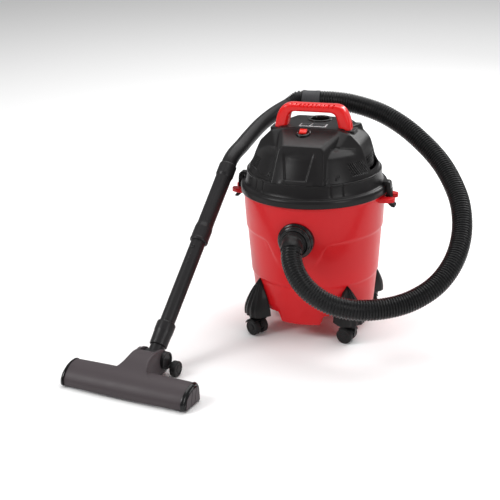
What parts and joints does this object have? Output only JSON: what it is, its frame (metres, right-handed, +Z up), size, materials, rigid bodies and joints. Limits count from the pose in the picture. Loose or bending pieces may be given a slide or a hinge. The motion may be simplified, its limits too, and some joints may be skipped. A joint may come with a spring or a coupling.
{
  "type": "shop vacuum",
  "caption": "Wet and dry shop vacuum: round red tank on swivel casters, latched black motor head, ribbed hose, bent grip with wand tubes and a wide floor nozzle.",
  "frame": {"origin": "on the floor, at the middle of the box round the vacuum, its wand and its nozzle, without the hose", "axes": "+Z up; -Y is the vacuum's front, where the hose goes into the tank; +X is the side that the hose loops round"},
  "size_m": [0.8262, 0.8149, 0.541],
  "materials": {
    "red_shell": "semi-gloss moulded, fine grain",
    "red_gloss": "polished moulded",
    "black_shell": "satin moulded, fine spark grain",
    "black_gloss": "polished moulded",
    "black_fittings": "satin moulded",
    "hose_plastic": "satin corrugated",
    "tube_plastic": "satin moulded",
    "cuff_grey": "satin moulded",
    "nozzle_grey": "satin moulded, fine grain",
    "wheel_rubber": "matt",
    "seal_rubber": "matt",
    "steel": "bright rolled",
    "fan_metal": "pressed, bare",
    "copper": "lacquered winding",
    "foam": "open cell foam",
    "silver_trim": "satin silver",
    "bristle": "nylon bristle"
  },
  "bodies": {
    "tank": {"tank": "red_shell", "inlet_collar": "black_gloss", "inlet_deflector": "black_fittings", "foot_front_left": "black_fittings", "foot_front_right": "black_fittings", "foot_rear_right": "black_fittings", "foot_rear_left": "black_fittings", "latch_pin_left": "steel", "latch_pin_right": "steel", "hose_cuff": "black_fittings", "hose": "hose_plastic", "hose_end_cuff": "cuff_grey"},
    "head": {"head_base": "black_shell", "tank_gasket": "seal_rubber", "head_cover": "black_shell", "vent_left": "black_shell", "vent_right": "black_shell", "blower_port": "black_gloss", "carry_handle": "red_gloss", "badge_plate": "silver_trim", "switch_bezel": "black_gloss", "cord_gland": "black_shell", "fan_housing": "steel", "motor_casing": "black_fittings", "stator": "steel", "bearing_lower": "steel", "bearing_upper": "steel", "float_cage": "black_fittings", "foam_filter": "foam", "filter_ring": "black_fittings"},
    "switch": {"switch_rocker": "red_gloss"},
    "motor_rotor": {"rotor": "copper", "fan": "fan_metal"},
    "float": {"float_valve": "red_gloss"},
    "left_latch": {"latch_left": "black_fittings"},
    "right_latch": {"latch_right": "black_fittings"},
    "front_left_caster": {"caster_hood_front_left": "black_fittings"},
    "front_left_wheels": {"caster_wheels_front_left": "wheel_rubber"},
    "front_right_caster": {"caster_hood_front_right": "black_fittings"},
    "front_right_wheels": {"caster_wheels_front_right": "wheel_rubber"},
    "rear_right_caster": {"caster_hood_rear_right": "black_fittings"},
    "rear_right_wheels": {"caster_wheels_rear_right": "wheel_rubber"},
    "rear_left_caster": {"caster_hood_rear_left": "black_fittings"},
    "rear_left_wheels": {"caster_wheels_rear_left": "wheel_rubber"},
    "wand": {"bend_relief": "tube_plastic", "grip": "tube_plastic", "wand_upper": "tube_plastic", "wand_lower": "tube_plastic", "elbow": "tube_plastic"},
    "tube_button": {"wand_button": "black_gloss"},
    "nozzle": {"nozzle_shell": "nozzle_grey", "nozzle_end_cap_left": "black_fittings", "nozzle_end_cap_right": "black_fittings", "nozzle_sole": "steel", "brush_front": "bristle", "brush_rear": "bristle", "nozzle_axle": "steel"},
    "nozzle_left_wheel": {"nozzle_wheel_left": "wheel_rubber"},
    "nozzle_right_wheel": {"nozzle_wheel_right": "wheel_rubber"}
  },
  "joints": [
    {"name": "head_lift", "type": "slide", "parent": "tank", "child": "head", "axis": [0, 0, 1], "range_m": [0, 0.3]},
    {"name": "left_latch_open", "type": "hinge", "parent": "tank", "child": "left_latch", "pos_m": [-0.0595, 0.17, 0.326], "axis": [0, -1, 0], "range_deg": [0, 35]},
    {"name": "right_latch_open", "type": "hinge", "parent": "tank", "child": "right_latch", "pos_m": [0.3065, 0.17, 0.326], "axis": [0, 1, 0], "range_deg": [0, 35]},
    {"name": "switch_rock", "type": "hinge", "parent": "head", "child": "switch", "pos_m": [0.1115, 0.1177, 0.48439], "axis": [-1, 0, 0], "range_deg": [0, 10]},
    {"name": "motor_spin", "type": "hinge", "parent": "head", "child": "motor_rotor", "pos_m": [0.1235, 0.17, 0.4], "axis": [0, 0, 1], "continuous": true},
    {"name": "float_rise", "type": "slide", "parent": "head", "child": "float", "axis": [0, 0, 1], "range_m": [0, 0.04]},
    {"name": "front_left_swivel", "type": "hinge", "parent": "tank", "child": "front_left_caster", "pos_m": [0.00188, 0.04838, 0.05], "axis": [0, 0, 1], "continuous": true},
    {"name": "front_left_roll", "type": "hinge", "parent": "front_left_caster", "child": "front_left_wheels", "pos_m": [0.01314, 0.04188, 0.019], "axis": [-0.5, -0.866, 0], "continuous": true},
    {"name": "front_right_swivel", "type": "hinge", "parent": "tank", "child": "front_right_caster", "pos_m": [0.24512, 0.04838, 0.05], "axis": [0, 0, 1], "continuous": true},
    {"name": "front_right_roll", "type": "hinge", "parent": "front_right_caster", "child": "front_right_wheels", "pos_m": [0.23232, 0.05063, 0.019], "axis": [0.1736, 0.9848, 0], "continuous": true},
    {"name": "rear_right_swivel", "type": "hinge", "parent": "tank", "child": "rear_right_caster", "pos_m": [0.24512, 0.29162, 0.05], "axis": [0, 0, 1], "continuous": true},
    {"name": "rear_right_roll", "type": "hinge", "parent": "rear_right_caster", "child": "rear_right_wheels", "pos_m": [0.23291, 0.28718, 0.019], "axis": [-0.342, 0.9397, 0], "continuous": true},
    {"name": "rear_left_swivel", "type": "hinge", "parent": "tank", "child": "rear_left_caster", "pos_m": [0.00188, 0.29162, 0.05], "axis": [0, 0, 1], "continuous": true},
    {"name": "rear_left_roll", "type": "hinge", "parent": "rear_left_caster", "child": "rear_left_wheels", "pos_m": [0.01409, 0.28718, 0.019], "axis": [-0.342, -0.9397, 0], "continuous": true},
    {"name": "wand_swivel", "type": "hinge", "parent": "tank", "child": "wand", "pos_m": [0.03807, 0.3774, 0.49841], "axis": [-0.9875, -0.1544, 0.0308], "range_deg": [0, 18]},
    {"name": "tube_button_press", "type": "slide", "parent": "wand", "child": "tube_button", "axis": [0.1014, 0.6548, -0.749], "range_m": [0, 0.002], "stiffness_N_per_m": 800, "springref_m": -0.001},
    {"name": "nozzle_pitch", "type": "hinge", "parent": "wand", "child": "nozzle", "pos_m": [-0.1445, -0.233, 0.04], "axis": [0.9882, -0.153, 0], "range_deg": [-25, 30]},
    {"name": "nozzle_left_roll", "type": "hinge", "parent": "nozzle", "child": "nozzle_left_wheel", "pos_m": [-0.19208, -0.21349, 0.018], "axis": [0.9882, -0.153, 0], "continuous": true},
    {"name": "nozzle_right_roll", "type": "hinge", "parent": "nozzle", "child": "nozzle_right_wheel", "pos_m": [-0.09325, -0.22879, 0.018], "axis": [0.9882, -0.153, 0], "continuous": true}
  ]
}
